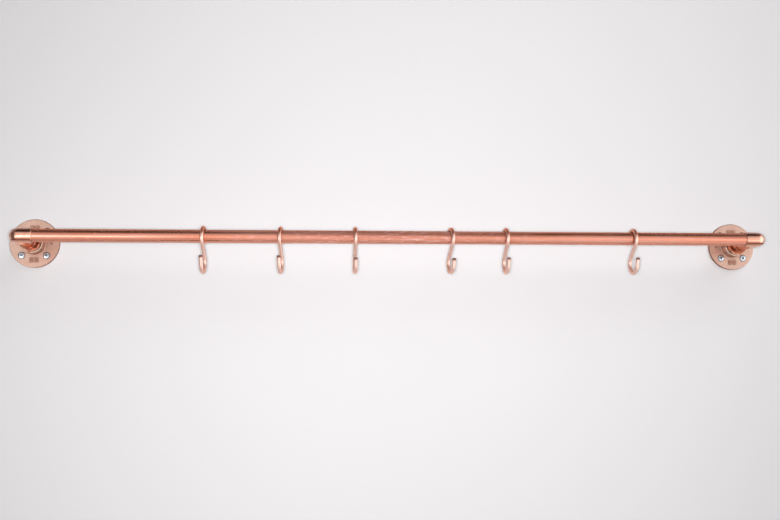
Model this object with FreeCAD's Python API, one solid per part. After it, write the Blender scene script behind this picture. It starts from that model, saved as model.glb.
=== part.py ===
import FreeCAD, Part
import math
import os

# Copper pipe wall rail with six S-hooks, in millimetres.
# +X runs along the rail, +Y goes into the wall, +Z is up. The wall is the plane y = 0, and the
# origin lies on it, midway between the two flanges at the height of their centres.

# Whole rail
FLANGE_SPACING = 868.0
STAND_OFF = 80.0

# 15 mm copper pipe
PIPE_R = 7.5
PIPE_BORE_R = 6.8
PIPE_EDGE = 0.3

# Capillary sockets that the pipe ends slide into
SOCKET_BORE_R = 7.55
SOCKET_R = 8.45
SOCKET_DEPTH = 10.0
SOCKET_EDGE = 0.35

# End-feed elbow
BEND_R = 5.0
BEND_TUBE_R = 8.3
SHOULDER_LENGTH = 1.1
ELBOW_STOP = 8.6
ELBOW_FACE = ELBOW_STOP + SOCKET_DEPTH

# Straight adapter: socket, hexagon and male thread, measured from the wall
ADAPTER_MOUTH = 33.0
ADAPTER_SOCKET_R = 8.8
HEX_FLATS = 22.0
HEX_FRONT = 24.5
HEX_BACK = 18.5
HEX_CHAMFER = 1.2
THREAD_END = 3.0

# 1/2 inch parallel pipe thread
THREAD_PITCH = 1.814
THREAD_MAJOR_R = 10.478
THREAD_MINOR_R = 9.316
THREAD_PLAY = 0.06

# Round floor flange
FLANGE_R = 29.3
PLATE_THICKNESS = 4.8
PLATE_FRONT_EDGE = 1.0
PLATE_BACK_EDGE = 0.4
BOSS_BASE_R = 13.2
BOSS_TOP_R = 12.3
BOSS_TOP = 16.0
BOSS_FILLET = 1.6
BOSS_EDGE = 0.6
BORE_MOUTH_R = 10.9
ENGAGED_TURNS = 7
SCREW_CIRCLE = 41.0
SCREW_HOLE_R = 2.5
COUNTERSINK_R = 4.3
MARK_HEIGHT = 0.7
MARK_SINK = 0.3
# raised marks cast in the plate: sideways and upward place, width and height of each bar
MARK_BARS = (
    (-2.9, 19.7, 4.4, 2.6),
    (2.9, 19.7, 4.4, 2.6),
    (-2.9, -18.2, 4.4, 1.8),
    (2.9, -18.2, 4.4, 1.8),
    (-2.9, -21.4, 4.4, 1.8),
    (2.9, -21.4, 4.4, 1.8),
)
MARK_BAR_EDGE = 0.6
MARK_DOT_R = 0.9
MARK_DOT_PLACE = 20.0

# Number 8 wood screw, 30 mm long, with a raised countersunk head and a cross recess
HEAD_R = 4.0
HEAD_RIM = 0.4
HEAD_DOME = 0.8
HEAD_PLAY = 0.08
NECK_R = 1.9
SHANK_R = 2.1
SHANK_START = 0.1
SHANK_END = 8.0
SCREW_ROOT_R = 1.4
SCREW_PITCH = 2.0
SCREW_FLANK = 0.7
SCREW_TURNS = 7
SCREW_POINT = 3.0
RECESS_WIDTH = 1.0
RECESS_TOP_R = 2.2
RECESS_FOOT_R = 0.6
RECESS_DEPTH = 2.0

# S-hook of round wire
WIRE_R = 2.15
HOOK_BEND_R = 10.3
HOOK_SEAT_PLAY = 0.05
LOOP_SPACING = 29.6
TIP_LEAN = 20.0
TIP_EDGE = 0.35
# place along the rail, turn about the upright and the straight lengths at the open front tip and
# at the back tip, hook by hook
HOOKS = (
    (-225.7, -6.0, 11.1, 10.2),
    (-137.9, -8.0, 11.3, 10.2),
    (-52.3, 1.2, 9.2, 8.5),
    (59.5, 9.2, 8.6, 8.5),
    (124.7, 3.5, 9.9, 8.5),
    (277.8, 5.0, 10.4, 10.2),
)

X_AXIS = FreeCAD.Vector(1, 0, 0)
Y_AXIS = FreeCAD.Vector(0, 1, 0)
Z_AXIS = FreeCAD.Vector(0, 0, 1)
ORIGIN = FreeCAD.Vector(0, 0, 0)
HALF_SPACING = FLANGE_SPACING / 2
# each end's name, its side of the origin, the turn its hexagon stopped at and the turns of its
# four cross recesses
SIDES = (
    ("left", -1, -23.0, (12.0, 64.0, 33.0, 81.0)),
    ("right", 1, 11.0, (50.0, 5.0, 74.0, 27.0)),
)


def save(node, shape):
    shape.exportStep("parts/" + node + ".step")


def turned(outline, axis):
    """A solid of revolution. Each outline point is (distance along the axis, radius)."""
    points = [axis * along + Z_AXIS * radius for along, radius in outline]
    face = Part.Face(Part.makePolygon(points + [points[0]]))
    return face.revolve(ORIGIN, axis, 360)


def round_edges(shape, along, radius):
    """The shape's circular edges about the Y axis at one height and radius."""
    found = []
    for edge in shape.Edges:
        curve = edge.Curve
        if isinstance(curve, Part.Circle) and abs(curve.Radius - radius) < 1e-4:
            if curve.Center.distanceToPoint(Y_AXIS * along) < 1e-4:
                found.append(edge)
    return found


def pipe(start, end, axis):
    """A length of pipe along an axis, the outer edges of its ends taken off."""
    return turned(
        (
            (start, PIPE_BORE_R),
            (start, PIPE_R - PIPE_EDGE),
            (start + PIPE_EDGE, PIPE_R),
            (end - PIPE_EDGE, PIPE_R),
            (end, PIPE_R - PIPE_EDGE),
            (end, PIPE_BORE_R),
        ),
        axis,
    )


def rail_pipe():
    half = HALF_SPACING - ELBOW_STOP
    rail = pipe(-half, half, X_AXIS)
    rail.translate(Y_AXIS * -STAND_OFF)
    return rail


def standoff_pipe(side):
    stub = pipe(-STAND_OFF + ELBOW_STOP, -ADAPTER_MOUTH + SOCKET_DEPTH, Y_AXIS)
    stub.translate(X_AXIS * side * HALF_SPACING)
    return stub


def quarter_bend(radius):
    """A solid round bar's quarter turn between the elbow's two arms. The bar is thicker than the
    bend is wide, so only the part of its section outside the bend's axis is turned."""
    section = Part.Face(Part.Wire(Part.makeCircle(radius, X_AXIS * BEND_R, X_AXIS)))
    corner = FreeCAD.Vector(0, -radius, -radius)
    outside = Part.makeBox(2 * BEND_R, radius + BEND_R, 2 * radius, corner)
    return section.common(outside).revolve(FreeCAD.Vector(BEND_R, BEND_R, 0), Z_AXIS, -90)


def elbow_arm(axis):
    """One arm of the elbow, filled, from the end of the bend to its mouth."""
    return turned(
        (
            (BEND_R, 0),
            (BEND_R, BEND_TUBE_R),
            (BEND_R + SHOULDER_LENGTH, SOCKET_R),
            (ELBOW_FACE - SOCKET_EDGE, SOCKET_R),
            (ELBOW_FACE, SOCKET_R - SOCKET_EDGE),
            (ELBOW_FACE, 0),
        ),
        axis,
    )


def elbow_bore(axis):
    """The way through one arm, and the wider socket that the pipe enters as far as the stop."""
    return turned(
        (
            (BEND_R, 0),
            (BEND_R, PIPE_BORE_R),
            (ELBOW_STOP, PIPE_BORE_R),
            (ELBOW_STOP, SOCKET_BORE_R),
            (ELBOW_FACE + SOCKET_EDGE, SOCKET_BORE_R),
            (ELBOW_FACE + SOCKET_EDGE, 0),
        ),
        axis,
    )


def elbow(side):
    """A quarter bend with one socket towards the rail's middle and one towards the wall."""
    outside = quarter_bend(BEND_TUBE_R).fuse([elbow_arm(X_AXIS), elbow_arm(Y_AXIS)])
    bore = quarter_bend(PIPE_BORE_R).fuse([elbow_bore(X_AXIS), elbow_bore(Y_AXIS)])
    whole = outside.cut(bore).removeSplitter()
    if side > 0:
        whole = whole.mirror(ORIGIN, X_AXIS)
    whole.translate(FreeCAD.Vector(side * HALF_SPACING, -STAND_OFF, 0))
    return whole


def thread_outline(start, turns, play):
    """Roots and crests of a 55 degree pipe thread, drawn as rings, a point at each flank's ends."""
    flat = THREAD_PITCH / 6
    points = []
    for turn in range(turns):
        root = start + turn * THREAD_PITCH
        points.append((root + flat / 2, THREAD_MINOR_R - play))
        points.append((root + (THREAD_PITCH - flat) / 2, THREAD_MAJOR_R - play))
        points.append((root + (THREAD_PITCH + flat) / 2, THREAD_MAJOR_R - play))
        points.append((root + THREAD_PITCH - flat / 2, THREAD_MINOR_R - play))
    return points


def hexagon():
    """The spanner hexagon as a ring, its corners turned off at 30 degrees on both faces."""
    corner_r = HEX_FLATS / math.sqrt(3)
    corners = []
    for step in range(7):
        angle = math.radians(60 * step)
        sideways = corner_r * math.cos(angle)
        upward = corner_r * math.sin(angle)
        corners.append(FreeCAD.Vector(sideways, -HEX_FRONT, upward))
    prism = Part.Face(Part.makePolygon(corners)).extrude(Y_AXIS * (HEX_FRONT - HEX_BACK))
    flat_r = HEX_FLATS / 2
    outside_r = corner_r + SOCKET_EDGE
    inside_r = ADAPTER_SOCKET_R - SOCKET_EDGE
    envelope = turned(
        (
            (-HEX_FRONT, inside_r),
            (-HEX_FRONT, flat_r),
            (-HEX_FRONT + HEX_CHAMFER, outside_r),
            (-HEX_BACK - HEX_CHAMFER, outside_r),
            (-HEX_BACK, flat_r),
            (-HEX_BACK, inside_r),
        ),
        Y_AXIS,
    )
    return prism.common(envelope)


def adapter(side, hexagon_turn):
    """A socket for the stand-off pipe, a hexagon, and the thread that enters the flange."""
    stop = -ADAPTER_MOUTH + SOCKET_DEPTH
    turns = int((HEX_BACK - THREAD_END) / THREAD_PITCH)
    root_r = THREAD_MINOR_R - THREAD_PLAY
    thread = thread_outline(-THREAD_END - turns * THREAD_PITCH, turns, THREAD_PLAY)
    socket = [
        (-ADAPTER_MOUTH, SOCKET_BORE_R),
        (-ADAPTER_MOUTH, ADAPTER_SOCKET_R - SOCKET_EDGE),
        (-ADAPTER_MOUTH + SOCKET_EDGE, ADAPTER_SOCKET_R),
        (-HEX_BACK, ADAPTER_SOCKET_R),
        (-HEX_BACK, root_r),
    ]
    bore = [
        (-THREAD_END, root_r),
        (-THREAD_END, PIPE_BORE_R),
        (stop, PIPE_BORE_R),
        (stop, SOCKET_BORE_R),
    ]
    whole = turned(socket + thread + bore, Y_AXIS).fuse(hexagon()).removeSplitter()
    whole.rotate(ORIGIN, Y_AXIS, hexagon_turn)
    whole.translate(X_AXIS * side * HALF_SPACING)
    return whole


def screw_places():
    """Sideways and upward place of the four screws about a flange's centre."""
    arm = SCREW_CIRCLE / 2 / math.sqrt(2)
    return ((-arm, arm), (arm, arm), (-arm, -arm), (arm, -arm))


def mark_bar(sideways, upward, width, height):
    """A plain raised bar on the plate's face, its upright edges rounded."""
    corner = FreeCAD.Vector(
        sideways - width / 2, -PLATE_THICKNESS - MARK_HEIGHT, upward - height / 2
    )
    bar = Part.makeBox(width, MARK_HEIGHT + MARK_SINK, height, corner)
    along_y = [edge for edge in bar.Edges if abs(edge.tangentAt(edge.FirstParameter).y) > 0.9]
    return bar.makeFillet(MARK_BAR_EDGE, along_y)


def mark_dot(sideways):
    foot = FreeCAD.Vector(sideways, -PLATE_THICKNESS - MARK_HEIGHT, 0)
    return Part.makeCylinder(MARK_DOT_R, MARK_HEIGHT + MARK_SINK, foot, Y_AXIS)


def screw_hole(sideways, upward):
    """A clearance hole through the plate with a countersink at its front."""
    front = FreeCAD.Vector(sideways, -PLATE_THICKNESS, upward)
    sink_depth = COUNTERSINK_R - SCREW_HOLE_R
    hole = Part.makeCylinder(SCREW_HOLE_R, PLATE_THICKNESS, front, Y_AXIS)
    sink = Part.makeCone(COUNTERSINK_R, SCREW_HOLE_R, sink_depth, front, Y_AXIS)
    return hole.fuse(sink)


def flange(side):
    """The round plate and its tapered boss, threaded right through, with its cast marks."""
    start = -THREAD_END - ENGAGED_TURNS * THREAD_PITCH
    thread = thread_outline(start, ENGAGED_TURNS + 1, 0.0)[2:]
    outside = [
        (0.0, FLANGE_R - PLATE_BACK_EDGE),
        (-PLATE_BACK_EDGE, FLANGE_R),
        (-PLATE_THICKNESS, FLANGE_R),
        (-PLATE_THICKNESS, BOSS_BASE_R),
        (-BOSS_TOP, BOSS_TOP_R),
        (-BOSS_TOP, BORE_MOUTH_R),
        (thread[0][0], BORE_MOUTH_R),
    ]
    whole = turned(outside + thread + [(0.0, BORE_MOUTH_R)], Y_AXIS)
    whole = whole.makeFillet(PLATE_FRONT_EDGE, round_edges(whole, -PLATE_THICKNESS, FLANGE_R))
    whole = whole.makeFillet(BOSS_FILLET, round_edges(whole, -PLATE_THICKNESS, BOSS_BASE_R))
    whole = whole.makeFillet(BOSS_EDGE, round_edges(whole, -BOSS_TOP, BOSS_TOP_R))
    marks = [mark_bar(*bar) for bar in MARK_BARS]
    marks += [mark_dot(-MARK_DOT_PLACE), mark_dot(MARK_DOT_PLACE)]
    whole = whole.fuse(marks)
    whole = whole.cut([screw_hole(*place) for place in screw_places()])
    whole.translate(X_AXIS * side * HALF_SPACING)
    return whole


def cross_recess(head_top):
    """Two crossed tapering slots that a screwdriver fits."""
    reach = RECESS_TOP_R + HEAD_DOME
    foot = head_top + RECESS_DEPTH
    slot_points = [
        FreeCAD.Vector(-reach, head_top - RECESS_DEPTH / 2, 0),
        FreeCAD.Vector(reach, head_top - RECESS_DEPTH / 2, 0),
        FreeCAD.Vector(RECESS_FOOT_R, foot, 0),
        FreeCAD.Vector(-RECESS_FOOT_R, foot, 0),
    ]
    slot = Part.Face(Part.makePolygon(slot_points + [slot_points[0]]))
    slot = slot.extrude(Z_AXIS * RECESS_WIDTH)
    slot.translate(Z_AXIS * (-RECESS_WIDTH / 2))
    across = slot.copy()
    across.rotate(ORIGIN, Y_AXIS, 90)
    return slot.fuse(across)


def wood_screw(recess_turn):
    """One screw on the Y axis, its head in the countersink and its thread behind the plate."""
    seat = -PLATE_THICKNESS + COUNTERSINK_R - HEAD_R - HEAD_PLAY
    rim = seat - HEAD_RIM
    top = rim - HEAD_DOME
    neck = seat + HEAD_R - NECK_R
    head = turned(((top, 0), (top, HEAD_R), (seat, HEAD_R), (neck, NECK_R), (neck, 0)), Y_AXIS)
    dome_r = (HEAD_R**2 + HEAD_DOME**2) / (2 * HEAD_DOME)
    head = head.common(Part.makeSphere(dome_r, Y_AXIS * (top + dome_r)))
    outline = [
        (neck, 0),
        (neck, NECK_R),
        (SHANK_START, NECK_R),
        (SHANK_START, SHANK_R),
        (SHANK_END, SHANK_R),
        (SHANK_END + SHANK_R - SCREW_ROOT_R, SCREW_ROOT_R),
    ]
    first_crest = SHANK_END + SCREW_PITCH
    for turn in range(SCREW_TURNS):
        crest = first_crest + turn * SCREW_PITCH
        outline.append((crest - SCREW_FLANK, SCREW_ROOT_R))
        outline.append((crest, SHANK_R))
        outline.append((crest + SCREW_FLANK, SCREW_ROOT_R))
    outline.append((first_crest + (SCREW_TURNS - 1) * SCREW_PITCH + SCREW_POINT, 0))
    recess = cross_recess(top)
    recess.rotate(ORIGIN, Y_AXIS, recess_turn)
    return head.fuse(turned(outline, Y_AXIS)).cut(recess)


def loop_point(centre_z, angle, radius=HOOK_BEND_R):
    """A point of a hook's loop, in the hook's own plane. Angles run from the front, upward."""
    return FreeCAD.Vector(
        0, -radius * math.cos(angle), centre_z + radius * math.sin(angle)
    )


def hook(place, turn, front_tip_length, back_tip_length):
    """An S of round wire: over the rail, slanting back under it, and open to the front below."""
    upper = PIPE_R + HOOK_SEAT_PLAY + WIRE_R - HOOK_BEND_R
    lower = upper - LOOP_SPACING
    lean = math.radians(TIP_LEAN)
    stem_slant = math.asin(2 * HOOK_BEND_R / LOOP_SPACING)
    back_end = math.pi - lean
    front_start = -stem_slant
    rear_start = math.pi - stem_slant
    front_end = 2 * math.pi - lean
    back_tip_way = FreeCAD.Vector(0, math.sin(lean), -math.cos(lean))
    arcs = []
    for centre, first, last in ((upper, back_end, front_start), (lower, rear_start, front_end)):
        middle = (first + last) / 2
        points = [loop_point(centre, angle) for angle in (first, middle, last)]
        arcs.append(Part.Arc(*points).toShape())
    over, under = arcs
    back_bend = loop_point(upper, back_end)
    front_bend = loop_point(lower, front_end)
    back_tip = back_bend + back_tip_way * back_tip_length
    front_tip = front_bend - back_tip_way * front_tip_length
    path = Part.Wire(
        [
            Part.LineSegment(back_tip, back_bend).toShape(),
            over,
            Part.LineSegment(loop_point(upper, front_start), loop_point(lower, rear_start)).toShape(),
            under,
            Part.LineSegment(front_bend, front_tip).toShape(),
        ]
    )
    section = Part.Wire(Part.makeCircle(WIRE_R, back_tip, back_tip_way))
    wire = path.makePipeShell([section], True, False)
    ends = []
    for edge in wire.Edges:
        if isinstance(edge.Curve, Part.Circle):
            for tip in (back_tip, front_tip):
                if edge.Curve.Center.distanceToPoint(tip) < 1e-4:
                    ends.append(edge)
    wire = wire.makeFillet(TIP_EDGE, ends)
    wire.rotate(ORIGIN, Z_AXIS, turn)
    wire.translate(FreeCAD.Vector(place, -STAND_OFF, 0))
    return wire


os.makedirs("parts", exist_ok=True)

save("rail_pipe", rail_pipe())
for name, side, hexagon_turn, recess_turns in SIDES:
    save(name + "_elbow", elbow(side))
    save(name + "_standoff_pipe", standoff_pipe(side))
    save(name + "_adapter", adapter(side, hexagon_turn))
    save(name + "_flange", flange(side))
    for number, (sideways, upward) in enumerate(screw_places()):
        screw = wood_screw(recess_turns[number])
        screw.translate(FreeCAD.Vector(side * HALF_SPACING + sideways, 0, upward))
        save(name + "_screw_" + str(number + 1), screw)
for number, measures in enumerate(HOOKS):
    save("hook_" + str(number + 1), hook(*measures))
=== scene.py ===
import math

import bpy
from mathutils import Matrix, Vector

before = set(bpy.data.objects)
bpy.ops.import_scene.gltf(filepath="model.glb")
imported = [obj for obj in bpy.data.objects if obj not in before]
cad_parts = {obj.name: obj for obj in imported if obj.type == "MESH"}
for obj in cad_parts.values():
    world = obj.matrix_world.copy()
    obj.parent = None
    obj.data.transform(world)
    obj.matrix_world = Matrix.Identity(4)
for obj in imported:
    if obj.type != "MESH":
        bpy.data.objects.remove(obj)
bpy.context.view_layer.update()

# Lengths are in metres. The rail runs along x at y = -0.080, z is up, and the flanges end at y = 0.

# Camera, fitted so that the rail and its fittings fall where the photo has them. Its angles are in
# degrees, and its lens and sensor in millimetres
CAMERA_PLACE = Vector((-0.1078, -1.1701, -0.1406))
CAMERA_YAW = -5.03
CAMERA_PITCH = 5.96
CAMERA_ROLL = 0.31
CAMERA_LENS = 43.81
CAMERA_SENSOR = 36.0

# Room. The wall stands a small gap behind the flanges, with a round opening behind each
WALL_GAP = 0.0004
WALL_HOLE = 0.0285
WALL_HALF_WIDTH = 1.6
WALL_TOP = 1.3
FLOOR_LEVEL = -1.1
FLOOR_DEPTH = 3.2

# The rail's hazy stretch, much handled, fades out between these distances from its middle
HAZE_FULL = 0.06
HAZE_GONE = 0.24
HAZE_WANDER = 0.08

# The flanges: how far each centre is from the middle of the rail, and the circles and levels on it
FLANGE_PLACE = 0.434
FLANGE_RIM = 0.0286
MARKS_START = 0.0166
MARKS_LEVEL = -0.0049
BOSS_SHADE_START = 0.0175
BOSS_SHADE_FULL = 0.0155
BOSS_POLISH_HIGHLIGHT_LEVEL = -0.0148
BOSS_POLISH_HIGHLIGHT_RADIUS = 0.0128

# How far each screw is from its flange's centre, sideways and upward, and where the painted shade ring
# round its head lies
SCREW_PLACE = 0.0145
SCREW_RIM_START = 0.0031
SCREW_RIM_FULL = 0.0038

# Of a hook's wire, only the stretch up to its open front tip is below and in front of these
BELOW_RAIL = -0.012
FRONT_OF_LOOP = -0.0900

# How far down from the front tip the dark end colour reaches, and what the rear end is behind
END_DARK_DEPTH = 0.0034
REAR_TIP_PLACE = -0.0712

# How wide the edge between two colours is where they meet sharply
SOFT_EDGE = 0.0002

# Which values of a noise count as its low and high ends, for patches of colour and for roughness
PATCH_START = 0.35
PATCH_FULL = 0.65
NOISE_LOW = 0.3
NOISE_HIGH = 0.7

# Colours of the pipes
PIPE_BRIGHT = (0.66, 0.20, 0.10)
PIPE_DULL = (0.62, 0.22, 0.13)
PIPE_BROWN = (0.44, 0.10, 0.045)
PIPE_SMEAR = (0.78, 0.35, 0.25)
PIPE_STREAK = (0.80, 0.40, 0.33)
PIPE_HAZE = (0.70, 0.29, 0.20)
# Painted shade: a darker, redder tone for the top of the rail
PIPE_TOP_SHADE = (0.24, 0.05, 0.025)
# Painted light: a paler tone for the underside of the rail
PIPE_UNDERSIDE_LIGHT = (0.84, 0.45, 0.35)
PIPE_SCUFF_PALE = (0.90, 0.54, 0.50)
PIPE_SCUFF_DARK = (0.52, 0.15, 0.08)
PIPE_SHEEN = (1.0, 0.62, 0.45)

# Colours of the elbows and adapters
ELBOW_BRIGHT = (0.80, 0.42, 0.31)
ELBOW_DULL = (0.72, 0.34, 0.24)
ADAPTER_BRIGHT = (0.60, 0.26, 0.16)
ADAPTER_DULL = (0.50, 0.20, 0.12)
FITTING_SCUFF = (0.90, 0.60, 0.48)
FITTING_CORNER_SHADE = (0.13, 0.03, 0.018)
# Painted shade: a dark tone for the top of the fittings
FITTING_TOP_SHADE = (0.16, 0.04, 0.025)
FITTING_SHADE = (0.20, 0.06, 0.03)

# Colours of the flanges
CAST_BRIGHT = (0.58, 0.37, 0.29)
CAST_DULL = (0.54, 0.33, 0.25)
CAST_GRAIN = (0.80, 0.62, 0.53)
# The dark tone of the real pits, also used as painted shade on the raised marks
CAST_PIT_AND_MARK_SHADE = (0.36, 0.16, 0.10)
CAST_CORNER_SHADE = (0.10, 0.028, 0.015)
CAST_RIM_SHADE = (0.22, 0.07, 0.045)
CAST_SHADE = (0.24, 0.07, 0.035)
# Polish on the boss's edge, with a painted highlight
CAST_POLISH_AND_HIGHLIGHT = (0.94, 0.74, 0.60)

# Colours of the hooks
WIRE_BRIGHT = (0.83, 0.58, 0.50)
WIRE_DULL = (0.77, 0.49, 0.41)
WIRE_SCRATCH = (0.62, 0.30, 0.20)
# Painted shade: a darker, redder tone for the top of the loop
WIRE_LOOP_TOP_SHADE = (0.62, 0.18, 0.10)
WIRE_END_DARK = (0.16, 0.045, 0.03)
WIRE_CORNER_SHADE = (0.20, 0.06, 0.035)
WIRE_SHEEN = (1.0, 0.70, 0.56)

# Colours of the screws
ZINC_BRIGHT = (0.60, 0.65, 0.70)
ZINC_DULL = (0.47, 0.52, 0.57)
ZINC_RECESS_SHADE = (0.05, 0.06, 0.08)
ZINC_RIM_SHADE = (0.09, 0.07, 0.07)

# Colours of the room
WALL_DARKER = (0.897, 0.872, 0.886)
WALL_PALER = (0.937, 0.92, 0.934)
WALL_GLOW = (0.98, 0.96, 0.97)
WALL_GLOW_STRENGTH = 0.10
FLOOR_DARKER = (0.80, 0.79, 0.79)
FLOOR_PALER = (0.86, 0.85, 0.85)
FLOOR_GLOW = (0.9, 0.89, 0.89)
FLOOR_GLOW_STRENGTH = 0.5
SKY_TINT = (1.0, 0.985, 0.99)
BACKDROP = (0.92, 0.91, 0.91)

# Brightness of the sky by height above eye level, in degrees, as the metal reflects it
SKY_LEVELS = (
    (-90, 0.60),
    (-86, 0.55),
    (-84, 0.03),
    (-78, 0.03),
    (-75, 0.98),
    (-66, 1.04),
    (-40, 1.08),
    (-15, 1.25),
    (2, 1.32),
    (16, 1.10),
    (34, 0.80),
    (47, 0.12),
    (90, 0.06),
)
SKY_LEFT_LEVEL = 0.16
SKY_RIGHT_LEVEL = 2.0

# Brightness of each light's face
LEFT_BOX_RADIANCE = 2.4
RIGHT_BOX_RADIANCE = 0.55
CEILING_RADIANCE = 0.5
FILL_RADIANCE = 605.0
TOP_RADIANCE = 1.9


def rgba(value):
    """A colour of three parts gets its alpha, and anything else stays as it is."""
    return (*value, 1.0) if isinstance(value, tuple) and len(value) == 3 else value


class Shader:
    """A small helper that adds nodes to one material and wires them by name."""

    def __init__(self, name):
        self.material = bpy.data.materials.new(name)
        self.material.use_nodes = True
        self.tree = self.material.node_tree
        self.tree.nodes.clear()
        self.output = self.node("ShaderNodeOutputMaterial")
        self.coordinates = self.node("ShaderNodeTexCoord").outputs["Object"]

    def node(self, kind, **settings):
        made = self.tree.nodes.new(kind)
        for key, value in settings.items():
            setattr(made, key, value)
        return made

    def feed(self, target, value):
        """Wires a socket into another, or sets a constant on it."""
        if isinstance(value, bpy.types.NodeSocket):
            self.tree.links.new(value, target)
        else:
            target.default_value = value

    def axis(self, index):
        """One of the object coordinates."""
        split = self.node("ShaderNodeSeparateXYZ")
        self.feed(split.inputs["Vector"], self.coordinates)
        return split.outputs[index]

    def facing_up(self):
        """The upward part of the direction that the surface faces: 1 on top, -1 underneath."""
        split = self.node("ShaderNodeSeparateXYZ")
        self.feed(split.inputs["Vector"], self.node("ShaderNodeNewGeometry").outputs["Normal"])
        return split.outputs["Z"]

    def math(self, operation, first, second=0.0):
        made = self.node("ShaderNodeMath", operation=operation)
        self.feed(made.inputs[0], first)
        self.feed(made.inputs[1], second)
        return made.outputs["Value"]

    def plus(self, first, second):
        return self.math("ADD", first, second)

    def minus(self, first, second):
        return self.math("SUBTRACT", first, second)

    def times(self, first, second):
        return self.math("MULTIPLY", first, second)

    def size_of(self, value):
        return self.math("ABSOLUTE", value)

    def distance(self, first, second):
        """How far a point is from where both measures are nought."""
        squares = self.plus(self.times(first, first), self.times(second, second))
        return self.math("SQRT", squares)

    def noise(self, scale, detail=2.0, roughness=0.5, distortion=0.0):
        """Noise whose scale is features to the metre, one number or one for each axis."""
        if isinstance(scale, (int, float)):
            scale = (scale, scale, scale)
        mapping = self.node("ShaderNodeMapping")
        self.feed(mapping.inputs["Vector"], self.coordinates)
        mapping.inputs["Scale"].default_value = scale
        texture = self.node("ShaderNodeTexNoise")
        self.feed(texture.inputs["Vector"], mapping.outputs["Vector"])
        texture.inputs["Scale"].default_value = 1.0
        texture.inputs["Detail"].default_value = detail
        texture.inputs["Roughness"].default_value = roughness
        texture.inputs["Distortion"].default_value = distortion
        return texture.outputs["Fac"]

    def spread(self, value, start, full, at_start=0.0, at_full=1.0):
        """Maps start..full to at_start..at_full, held at the ends."""
        mapped = self.node("ShaderNodeMapRange", clamp=True)
        self.feed(mapped.inputs["Value"], value)
        mapped.inputs["From Min"].default_value = start
        mapped.inputs["From Max"].default_value = full
        mapped.inputs["To Min"].default_value = at_start
        mapped.inputs["To Max"].default_value = at_full
        return mapped.outputs["Result"]

    def past(self, value, place, over):
        """Nought up to a place and full from a short way past it on, or below it if that is negative."""
        return self.spread(value, place, place + over)

    def uneven(self, value, smooth, rough):
        """Roughness that wanders with a noise."""
        return self.spread(value, NOISE_LOW, NOISE_HIGH, smooth, rough)

    def rougher(self, roughness, amount, by):
        """Roughness that is changed by so much where the amount is full."""
        return self.plus(roughness, self.times(amount, by))

    def crevice_shade(self, reach, deep, open_from):
        """Full in corners of the given reach and nought on open surface, where it paints shade. The two
        limits say how much of the surroundings a point sees there."""
        shade = self.node("ShaderNodeAmbientOcclusion", samples=8)
        shade.inputs["Distance"].default_value = reach
        return self.spread(shade.outputs["AO"], open_from, deep)

    def blend(self, amount, first, second):
        """Mixes two colours."""
        made = self.node("ShaderNodeMix", data_type="RGBA", blend_type="MIX")
        self.feed(made.inputs["Factor"], amount)
        self.feed(made.inputs["A"], rgba(first))
        self.feed(made.inputs["B"], rgba(second))
        return [out for out in made.outputs if out.type == "RGBA"][0]

    def mottled(self, value, first, second):
        """Two colours in soft patches."""
        return self.blend(self.spread(value, PATCH_START, PATCH_FULL), first, second)

    def cover(self, colour, paint, amount, strength=1.0):
        """The colour, painted over where the amount is full."""
        return self.blend(self.times(amount, strength), colour, paint)

    def stain(self, colour, paint, value, start, full, strength=1.0):
        """The colour, painted over where the value passes from start to full."""
        return self.blend(self.spread(value, start, full, 0.0, strength), colour, paint)

    def bump(self, height, depth, under=None):
        """Relief of the given depth."""
        made = self.node("ShaderNodeBump")
        made.inputs["Strength"].default_value = 1.0
        made.inputs["Distance"].default_value = depth
        self.feed(made.inputs["Height"], height)
        if under is not None:
            self.feed(made.inputs["Normal"], under)
        return made.outputs["Normal"]

    def surface(self, **values):
        """Ends the material in a Principled shader."""
        principled = self.node("ShaderNodeBsdfPrincipled")
        for key, value in values.items():
            self.feed(principled.inputs[key.replace("_", " ")], rgba(value))
        self.feed(self.output.inputs["Surface"], principled.outputs["BSDF"])
        return self.material

    def from_flange(self):
        """Sideways distance from the nearer flange's centre, negative toward the rail's middle."""
        return self.minus(self.size_of(self.axis(0)), FLANGE_PLACE)


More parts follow.
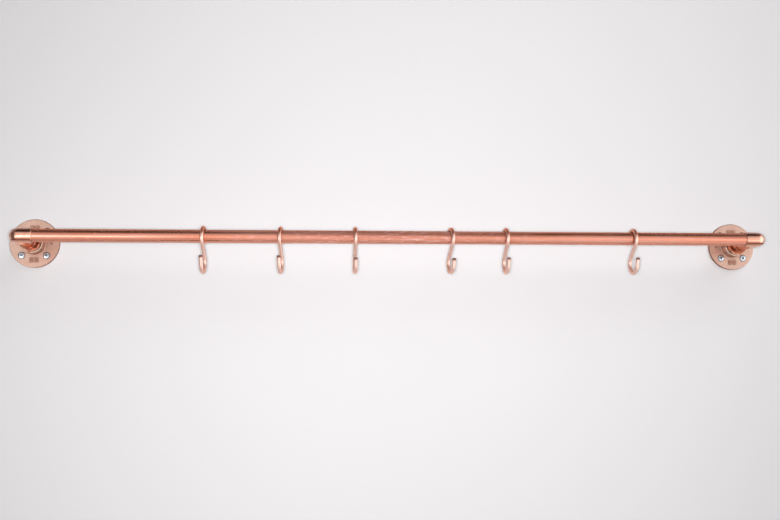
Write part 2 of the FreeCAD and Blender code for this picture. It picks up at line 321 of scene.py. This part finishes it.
def drawn_copper(name, axis, worn=False):
    """Copper tube as it leaves the drawing die, with lines along the given axis, tarnish and finger
    marks. The worn one is hazy and scuffed in its middle, darker on top with painted shade and
    paler underneath with painted light."""
    shader = Shader(name)

    def along(length_scale, round_scale):
        return tuple(length_scale if i == axis else round_scale for i in range(3))

    lines = shader.noise(along(9.0, 1100.0), detail=3.0, roughness=0.65)
    streaks = shader.noise(along(5.0, 330.0), detail=2.0, roughness=0.6)
    fine_lines = shader.noise(along(40.0, 3200.0), detail=2.0)
    clouds = shader.noise(along(22.0, 60.0), detail=4.0, roughness=0.6, distortion=0.6)
    smears = shader.noise(along(60.0, 160.0), detail=5.0, roughness=0.7, distortion=1.2)
    specks = shader.noise(900.0, detail=2.0)
    upward = shader.facing_up()

    colour = shader.mottled(clouds, PIPE_BRIGHT, PIPE_DULL)
    colour = shader.stain(colour, PIPE_SMEAR, smears, start=0.52, full=0.75, strength=0.55)
    roughness = shader.uneven(clouds, smooth=0.22, rough=0.32)
    roughness = shader.plus(roughness, shader.spread(smears, start=0.5, full=0.8, at_full=0.10))
    coat = shader.spread(shader.size_of(upward), start=0.50, full=0.80, at_start=0.9, at_full=0.25)
    if worn:
        slow = shader.noise(14.0, detail=3.0)
        wander = shader.spread(slow, start=0.2, full=0.8, at_start=-HAZE_WANDER, at_full=HAZE_WANDER)
        place = shader.plus(shader.size_of(shader.axis(axis)), wander)
        haze = shader.spread(place, HAZE_GONE, HAZE_FULL)
        colour = shader.cover(colour, PIPE_HAZE, haze, strength=0.8)
        roughness = shader.rougher(roughness, haze, by=0.20)
        hazy_coat = shader.spread(haze, start=0.0, full=1.0, at_start=1.0, at_full=0.55)
        # Painted shade on the top of the rail: less coat there and a darker colour
        thinner_coat_on_top = shader.spread(upward, start=0.50, full=0.80, at_start=1.0, at_full=0.5)
        coat = shader.times(shader.times(coat, hazy_coat), thinner_coat_on_top)
        colour = shader.stain(colour, PIPE_TOP_SHADE, upward, start=0.60, full=0.85, strength=0.50)
        # Painted light: the underside of the rail made paler
        colour = shader.stain(colour, PIPE_UNDERSIDE_LIGHT, upward, start=-0.60, full=-0.85, strength=0.45)
        scuffs = shader.noise(along(120.0, 480.0), detail=3.0, roughness=0.6)
        pale_scuffs = shader.times(haze, shader.spread(scuffs, start=0.53, full=0.66))
        colour = shader.cover(colour, PIPE_SCUFF_PALE, pale_scuffs, strength=0.75)
        dark_scuffs = shader.times(haze, shader.spread(scuffs, start=0.45, full=0.34))
        colour = shader.cover(colour, PIPE_SCUFF_DARK, dark_scuffs, strength=0.45)
    colour = shader.stain(colour, PIPE_STREAK, streaks, start=0.52, full=0.70, strength=0.6)
    colour = shader.stain(colour, PIPE_BROWN, streaks, start=0.47, full=0.32, strength=0.5)
    colour = shader.stain(colour, PIPE_BROWN, lines, start=0.52, full=0.80, strength=0.5)
    colour = shader.stain(colour, PIPE_BROWN, specks, start=0.66, full=0.80, strength=0.6)
    relief = shader.bump(lines, depth=0.000014)
    relief = shader.bump(streaks, depth=0.00005, under=relief)
    relief = shader.bump(fine_lines, depth=0.000004, under=relief)
    return shader.surface(
        Base_Color=colour,
        Metallic=0.93,
        Roughness=roughness,
        Normal=relief,
        Specular_Tint=PIPE_SHEEN,
        Coat_Weight=coat,
        Coat_Roughness=0.13,
        Coat_IOR=1.75,
    )


def formed_copper(name, bright, dull, corner_reach):
    """Bright copper fitting, with the soft blotches that forming and handling leave, painted shade on
    top and in the corners, and a thin line of painted shade along its underside."""
    shader = Shader(name)
    clouds = shader.noise(110.0, detail=4.0, roughness=0.6, distortion=0.8)
    scuffs = shader.noise((900.0, 240.0, 900.0), detail=4.0, roughness=0.7)
    upward = shader.facing_up()

    colour = shader.mottled(clouds, bright, dull)
    colour = shader.stain(colour, FITTING_SCUFF, scuffs, start=0.62, full=0.8, strength=0.4)
    # Painted shade darkens the fitting in its corners
    corners = shader.crevice_shade(corner_reach, deep=0.50, open_from=0.94)
    colour = shader.cover(colour, FITTING_CORNER_SHADE, corners, strength=0.92)
    # Painted shade: the top of the fitting darkened
    colour = shader.stain(colour, FITTING_TOP_SHADE, upward, start=0.45, full=0.62, strength=0.55)
    line_top = shader.spread(upward, start=-0.48, full=-0.57)
    line_bottom = shader.spread(upward, start=-0.81, full=-0.73)
    colour = shader.cover(colour, FITTING_SHADE, shader.times(line_top, line_bottom), strength=0.9)
    roughness = shader.uneven(clouds, smooth=0.06, rough=0.10)
    roughness = shader.plus(roughness, shader.spread(scuffs, start=0.58, full=0.8, at_full=0.08))
    return shader.surface(
        Base_Color=colour,
        Metallic=1.0,
        Roughness=roughness,
        Normal=shader.bump(scuffs, depth=0.00001),
    )


def cast_copper(name):
    """Copper-plated casting: matte, pale, with the grain of the sand mould. Painted shade darkens its
    corners, the raised marks, the rim and the foot of the boss, and the boss's edge has a polish with a
    painted highlight."""
    shader = Shader(name)
    grain = shader.noise(1400.0, detail=4.0, roughness=0.6)
    lumps = shader.noise(260.0, detail=3.0)
    clouds = shader.noise(45.0, detail=4.0, roughness=0.6, distortion=0.5)
    pits = shader.noise(620.0, detail=1.0)
    out = shader.distance(shader.from_flange(), shader.axis(2))
    depth = shader.axis(1)

    colour = shader.mottled(clouds, CAST_BRIGHT, CAST_DULL)
    colour = shader.stain(colour, CAST_GRAIN, grain, start=0.48, full=0.72, strength=0.7)
    colour = shader.stain(colour, CAST_PIT_AND_MARK_SHADE, pits, start=0.60, full=0.76, strength=0.75)
    # Painted shade darkens the casting in its corners
    corners = shader.crevice_shade(reach=0.0020, deep=0.60, open_from=0.97)
    colour = shader.cover(colour, CAST_CORNER_SHADE, corners)
    # Painted shade: the raised marks darkened
    beyond_boss = shader.past(out, MARKS_START, over=SOFT_EDGE)
    raised = shader.past(depth, MARKS_LEVEL, over=-0.0003)
    colour = shader.cover(colour, CAST_PIT_AND_MARK_SHADE, shader.times(beyond_boss, raised), strength=0.75)
    # Painted shade: the rim of the flange darkened
    colour = shader.cover(colour, CAST_RIM_SHADE, shader.past(out, FLANGE_RIM, over=0.0005), strength=0.8)
    near_boss = shader.spread(out, BOSS_SHADE_START, BOSS_SHADE_FULL)
    foot = shader.crevice_shade(reach=0.007, deep=0.45, open_from=0.85)
    colour = shader.cover(colour, CAST_SHADE, shader.times(near_boss, foot), strength=0.85)
    # The boss's edge: smoother with polish, and paler with a painted highlight
    boss_end = shader.past(depth, BOSS_POLISH_HIGHLIGHT_LEVEL, over=-0.0007)
    boss_edge = shader.past(out, BOSS_POLISH_HIGHLIGHT_RADIUS, over=-SOFT_EDGE)
    polish_and_highlight = shader.times(boss_end, boss_edge)
    colour = shader.cover(colour, CAST_POLISH_AND_HIGHLIGHT, polish_and_highlight, strength=0.8)
    roughness = shader.uneven(grain, smooth=0.28, rough=0.42)
    roughness = shader.rougher(roughness, polish_and_highlight, by=-0.14)
    relief = shader.bump(lumps, depth=0.00011)
    relief = shader.bump(grain, depth=0.00009, under=relief)
    return shader.surface(Base_Color=colour, Metallic=0.85, Roughness=roughness, Normal=relief)


def wire_copper(name, tip):
    """Satin copper wire, paler and pinker than the pipe, with painted shade making it redder on top of
    the loop that rides on the rail and darker in its corners, and dark at the front and rear ends.
    The height of the front end is given."""
    shader = Shader(name)
    clouds = shader.noise(150.0, detail=4.0, roughness=0.6)
    scratches = shader.noise((2400.0, 500.0, 500.0), detail=3.0, roughness=0.7)
    upward = shader.facing_up()
    depth = shader.axis(1)
    height = shader.axis(2)

    colour = shader.mottled(clouds, WIRE_BRIGHT, WIRE_DULL)
    colour = shader.stain(colour, WIRE_SCRATCH, scratches, start=0.6, full=0.8, strength=0.4)
    # Painted shade: the top of the loop on the rail darker and redder
    outer = shader.spread(upward, start=-0.1, full=0.45)
    above = shader.spread(height, start=-0.003, full=0.004)
    colour = shader.cover(colour, WIRE_LOOP_TOP_SHADE, shader.times(outer, above), strength=0.85)
    # The front and rear ends get a dark colour, more roughness and no metal
    near_tip = shader.past(height, tip - END_DARK_DEPTH, over=0.0007)
    in_front = shader.past(depth, FRONT_OF_LOOP, over=-0.0004)
    below = shader.spread(height, BELOW_RAIL + 0.002, BELOW_RAIL)
    front_end = shader.times(shader.times(near_tip, in_front), below)
    facing_down = shader.spread(upward, start=-0.85, full=-0.90)
    behind = shader.past(depth, REAR_TIP_PLACE, over=0.0004)
    back_end = shader.times(facing_down, behind)
    sawn = shader.math("MAXIMUM", front_end, back_end)
    colour = shader.cover(colour, WIRE_END_DARK, sawn, strength=0.85)
    # Painted shade darkens the wire in its corners and close to other parts
    corners = shader.crevice_shade(reach=0.0025, deep=0.45, open_from=0.90)
    colour = shader.cover(colour, WIRE_CORNER_SHADE, corners, strength=0.85)
    roughness = shader.uneven(clouds, smooth=0.28, rough=0.38)
    roughness = shader.rougher(roughness, sawn, by=0.5)
    return shader.surface(
        Base_Color=colour,
        Metallic=shader.minus(1.0, sawn),
        Roughness=roughness,
        Normal=shader.bump(scratches, depth=0.00001),
        Specular_Tint=WIRE_SHEEN,
    )


def zinc(name):
    """Bright zinc plate on the screws, with painted shade in the recess and a ring of painted shade
    round each head.
    """
    shader = Shader(name)
    clouds = shader.noise(500.0, detail=3.0)
    fine = shader.noise(3000.0, detail=2.0)
    sideways = shader.minus(shader.size_of(shader.from_flange()), SCREW_PLACE)
    upright = shader.minus(shader.size_of(shader.axis(2)), SCREW_PLACE)
    out = shader.distance(sideways, upright)

    colour = shader.mottled(clouds, ZINC_BRIGHT, ZINC_DULL)
    # Painted shade darkens the screw's cross recess
    recess = shader.crevice_shade(reach=0.0012, deep=0.50, open_from=0.92)
    colour = shader.cover(colour, ZINC_RECESS_SHADE, recess, strength=0.92)
    # Painted shade: a dark ring round the screw's head
    colour = shader.stain(colour, ZINC_RIM_SHADE, out, SCREW_RIM_START, SCREW_RIM_FULL, strength=0.85)
    return shader.surface(
        Base_Color=colour,
        Metallic=1.0,
        Roughness=shader.uneven(clouds, smooth=0.16, rough=0.28),
        Normal=shader.bump(fine, depth=0.000008),
    )


def dress(node, material):
    """Gives a CAD node a better material."""
    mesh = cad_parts[node].data
    mesh.materials.clear()
    mesh.materials.append(material)


def tip_height(node):
    """Height of a hook's open front tip, from its mesh."""
    corners = [vertex.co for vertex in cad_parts[node].data.vertices]
    return max(corner.z for corner in corners if corner.y < FRONT_OF_LOOP and corner.z < BELOW_RAIL)


def dress_all():
    along_x = drawn_copper("drawn_copper_rail", 0, worn=True)
    along_y = drawn_copper("drawn_copper_standoff", 1)
    fitting = formed_copper("formed_copper", ELBOW_BRIGHT, ELBOW_DULL, corner_reach=0.0015)
    threaded = formed_copper("turned_copper", ADAPTER_BRIGHT, ADAPTER_DULL, corner_reach=0.004)
    casting = cast_copper("cast_copper")
    plated = zinc("zinc_plate")
    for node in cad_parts:
        if node == "rail_pipe":
            dress(node, along_x)
        elif node.endswith("_pipe"):
            dress(node, along_y)
        elif node.endswith("_flange"):
            dress(node, casting)
        elif node.startswith("hook_"):
            dress(node, wire_copper("wire_copper_" + node, tip_height(node)))
        elif "_screw_" in node:
            dress(node, plated)
        elif node.endswith("_adapter"):
            dress(node, threaded)
        else:
            dress(node, fitting)


def wall_paint():
    """Matt white paint with a faint glow, seen from its front only and open behind each flange, so
    that the object shows from behind too."""
    shader = Shader("wall_paint")
    clouds = shader.noise(2.5, detail=3.0)
    rolled = shader.noise(260.0, detail=3.0)
    paint = shader.node("ShaderNodeBsdfDiffuse")
    shader.feed(paint.inputs["Color"], shader.blend(clouds, WALL_DARKER, WALL_PALER))
    shader.feed(paint.inputs["Normal"], shader.bump(rolled, depth=0.0001))
    glow = shader.node("ShaderNodeEmission")
    glow.inputs["Color"].default_value = rgba(WALL_GLOW)
    glow.inputs["Strength"].default_value = WALL_GLOW_STRENGTH
    lit = shader.node("ShaderNodeAddShader")
    shader.feed(lit.inputs[0], paint.outputs["BSDF"])
    shader.feed(lit.inputs[1], glow.outputs["Emission"])
    clear = shader.node("ShaderNodeBsdfTransparent")
    from_centre = shader.distance(shader.from_flange(), shader.axis(2))
    hole = shader.past(from_centre, WALL_HOLE, over=-SOFT_EDGE)
    behind = shader.node("ShaderNodeNewGeometry").outputs["Backfacing"]
    either = shader.node("ShaderNodeMixShader")
    shader.feed(either.inputs["Fac"], shader.math("MAXIMUM", behind, hole))
    shader.feed(either.inputs[1], lit.outputs["Shader"])
    shader.feed(either.inputs[2], clear.outputs["BSDF"])
    shader.feed(shader.output.inputs["Surface"], either.outputs["Shader"])
    return shader.material


def floor_paint():
    """Matt pale floor with a glow of its own."""
    shader = Shader("floor_paint")
    clouds = shader.noise(3.0, detail=3.0)
    return shader.surface(
        Base_Color=shader.blend(clouds, FLOOR_DARKER, FLOOR_PALER),
        Roughness=0.8,
        Emission_Color=FLOOR_GLOW,
        Emission_Strength=FLOOR_GLOW_STRENGTH,
    )


def stage_plane(name, corners, material):
    mesh = bpy.data.meshes.new(name)
    mesh.from_pydata([Vector(corner) for corner in corners], [], [(0, 1, 2, 3)])
    mesh.materials.append(material)
    made = bpy.data.objects.new(name, mesh)
    bpy.context.scene.collection.objects.link(made)
    return made


def room():
    """A wall just behind the flanges, and a floor that neither the metal nor the wall sees."""
    side = WALL_HALF_WIDTH
    wall_corners = (
        (-side, WALL_GAP, FLOOR_LEVEL),
        (side, WALL_GAP, FLOOR_LEVEL),
        (side, WALL_GAP, WALL_TOP),
        (-side, WALL_GAP, WALL_TOP),
    )
    floor_corners = (
        (-side, -FLOOR_DEPTH, FLOOR_LEVEL),
        (side, -FLOOR_DEPTH, FLOOR_LEVEL),
        (side, FLOOR_DEPTH, FLOOR_LEVEL),
        (-side, FLOOR_DEPTH, FLOOR_LEVEL),
    )
    stage_plane("wall", wall_corners, wall_paint())
    floor = stage_plane("floor", floor_corners, floor_paint())
    floor.visible_glossy = False
    floor.visible_diffuse = False


def side_level(tree, sideways, start, full, level):
    """Strength of the sky toward one side: 1 up to start, and the given level from full on."""
    mapped = tree.nodes.new("ShaderNodeMapRange")
    mapped.interpolation_type = "SMOOTHSTEP"
    mapped.inputs["From Min"].default_value = start
    mapped.inputs["From Max"].default_value = full
    mapped.inputs["To Min"].default_value = 1.0
    mapped.inputs["To Max"].default_value = level
    tree.links.new(sideways, mapped.inputs["Value"])
    return mapped.outputs["Result"]


def sky():
    """Soft light all round for the metal: dim overhead and to the left, brightest at eye level and
    to the right. The eye itself sees a plain pale backdrop instead."""
    world = bpy.data.worlds.new("studio")
    bpy.context.scene.world = world
    world.use_nodes = True
    world.cycles_visibility.diffuse = False
    tree = world.node_tree
    tree.nodes.clear()
    direction = tree.nodes.new("ShaderNodeSeparateXYZ")
    coordinates = tree.nodes.new("ShaderNodeTexCoord")
    tree.links.new(coordinates.outputs["Generated"], direction.inputs["Vector"])

    height = tree.nodes.new("ShaderNodeMapRange")
    height.inputs["From Min"].default_value = -1.0
    height.inputs["From Max"].default_value = 1.0
    tree.links.new(direction.outputs["Z"], height.inputs["Value"])
    ramp = tree.nodes.new("ShaderNodeValToRGB")
    tree.links.new(height.outputs["Result"], ramp.inputs["Fac"])
    stops = [(0.5 + 0.5 * math.sin(math.radians(angle)), level) for angle, level in SKY_LEVELS]
    elements = ramp.color_ramp.elements
    elements[0].position = stops[0][0]
    elements[1].position = stops[-1][0]
    for place, _ in stops[1:-1]:
        elements.new(place)
    for element, (_, level) in zip(elements, stops):
        element.color = rgba(tuple(level * part for part in SKY_TINT))

    left = side_level(tree, direction.outputs["X"], start=-0.55, full=-0.88, level=SKY_LEFT_LEVEL)
    right = side_level(tree, direction.outputs["X"], start=0.60, full=0.90, level=SKY_RIGHT_LEVEL)
    strength = tree.nodes.new("ShaderNodeMath")
    strength.operation = "MULTIPLY"
    tree.links.new(left, strength.inputs[0])
    tree.links.new(right, strength.inputs[1])
    background = tree.nodes.new("ShaderNodeBackground")
    tree.links.new(ramp.outputs["Color"], background.inputs["Color"])
    tree.links.new(strength.outputs["Value"], background.inputs["Strength"])

    backdrop = tree.nodes.new("ShaderNodeBackground")
    backdrop.inputs["Color"].default_value = rgba(BACKDROP)
    seen = tree.nodes.new("ShaderNodeMixShader")
    tree.links.new(tree.nodes.new("ShaderNodeLightPath").outputs["Is Camera Ray"], seen.inputs["Fac"])
    tree.links.new(background.outputs["Background"], seen.inputs[1])
    tree.links.new(backdrop.outputs["Background"], seen.inputs[2])
    output = tree.nodes.new("ShaderNodeOutputWorld")
    tree.links.new(seen.outputs["Shader"], output.inputs["Surface"])


def soft_light(name, place, aim, width, height, radiance):
    """A soft box of the given face and brightness, which the camera doesn't see."""
    data = bpy.data.lights.new(name, "AREA")
    data.shape = "RECTANGLE"
    data.size = width
    data.size_y = height
    data.energy = radiance * math.pi * width * height
    lamp = bpy.data.objects.new(name, data)
    bpy.context.scene.collection.objects.link(lamp)
    lamp.location = place
    lamp.rotation_euler = (Vector(aim) - Vector(place)).to_track_quat("-Z", "Y").to_euler()
    lamp.visible_camera = False
    return lamp


def lights():
    """Boxes and a ceiling that show in the metal alone, and a fill at the camera and a large top
    light that don't show in it and light the wall."""
    for name, side, radiance in (
        ("left_box", -1, LEFT_BOX_RADIANCE),
        ("right_box", 1, RIGHT_BOX_RADIANCE),
    ):
        box = soft_light(
            name,
            place=(side * 1.10, -1.38, -0.58),
            aim=(side * 0.2, 0.0, 0.0),
            width=1.35,
            height=0.6,
            radiance=radiance,
        )
        box.visible_diffuse = False
    ceiling = soft_light(
        "ceiling",
        place=(0.12, -0.45, 1.0),
        aim=(0.0, 0.0, 0.0),
        width=0.4,
        height=0.5,
        radiance=CEILING_RADIANCE,
    )
    ceiling.visible_diffuse = False
    fill = soft_light(
        "fill",
        place=CAMERA_PLACE,
        aim=(0.10, 0.0, -0.06),
        width=0.09,
        height=0.06,
        radiance=FILL_RADIANCE,
    )
    fill.visible_glossy = False
    top = soft_light(
        "top",
        place=(0.8, -1.3, 1.0),
        aim=(0.25, 0.0, 0.25),
        width=1.6,
        height=1.0,
        radiance=TOP_RADIANCE,
    )
    top.visible_glossy = False


def camera():
    """Looks level along +y, then rolled, pitched up and turned to the fitted angles."""
    data = bpy.data.cameras.new("camera")
    data.sensor_width = CAMERA_SENSOR
    data.lens = CAMERA_LENS
    eye = bpy.data.objects.new("camera", data)
    bpy.context.scene.collection.objects.link(eye)
    level = Matrix.Rotation(math.radians(90.0), 4, "X")
    roll = Matrix.Rotation(math.radians(CAMERA_ROLL), 4, "Y")
    pitch = Matrix.Rotation(math.radians(CAMERA_PITCH), 4, "X")
    yaw = Matrix.Rotation(math.radians(CAMERA_YAW), 4, "Z")
    eye.matrix_world = Matrix.Translation(CAMERA_PLACE) @ yaw @ pitch @ roll @ level
    bpy.context.scene.camera = eye


camera()
dress_all()
room()
sky()
lights()
bpy.context.scene.view_settings.view_transform = "Standard"
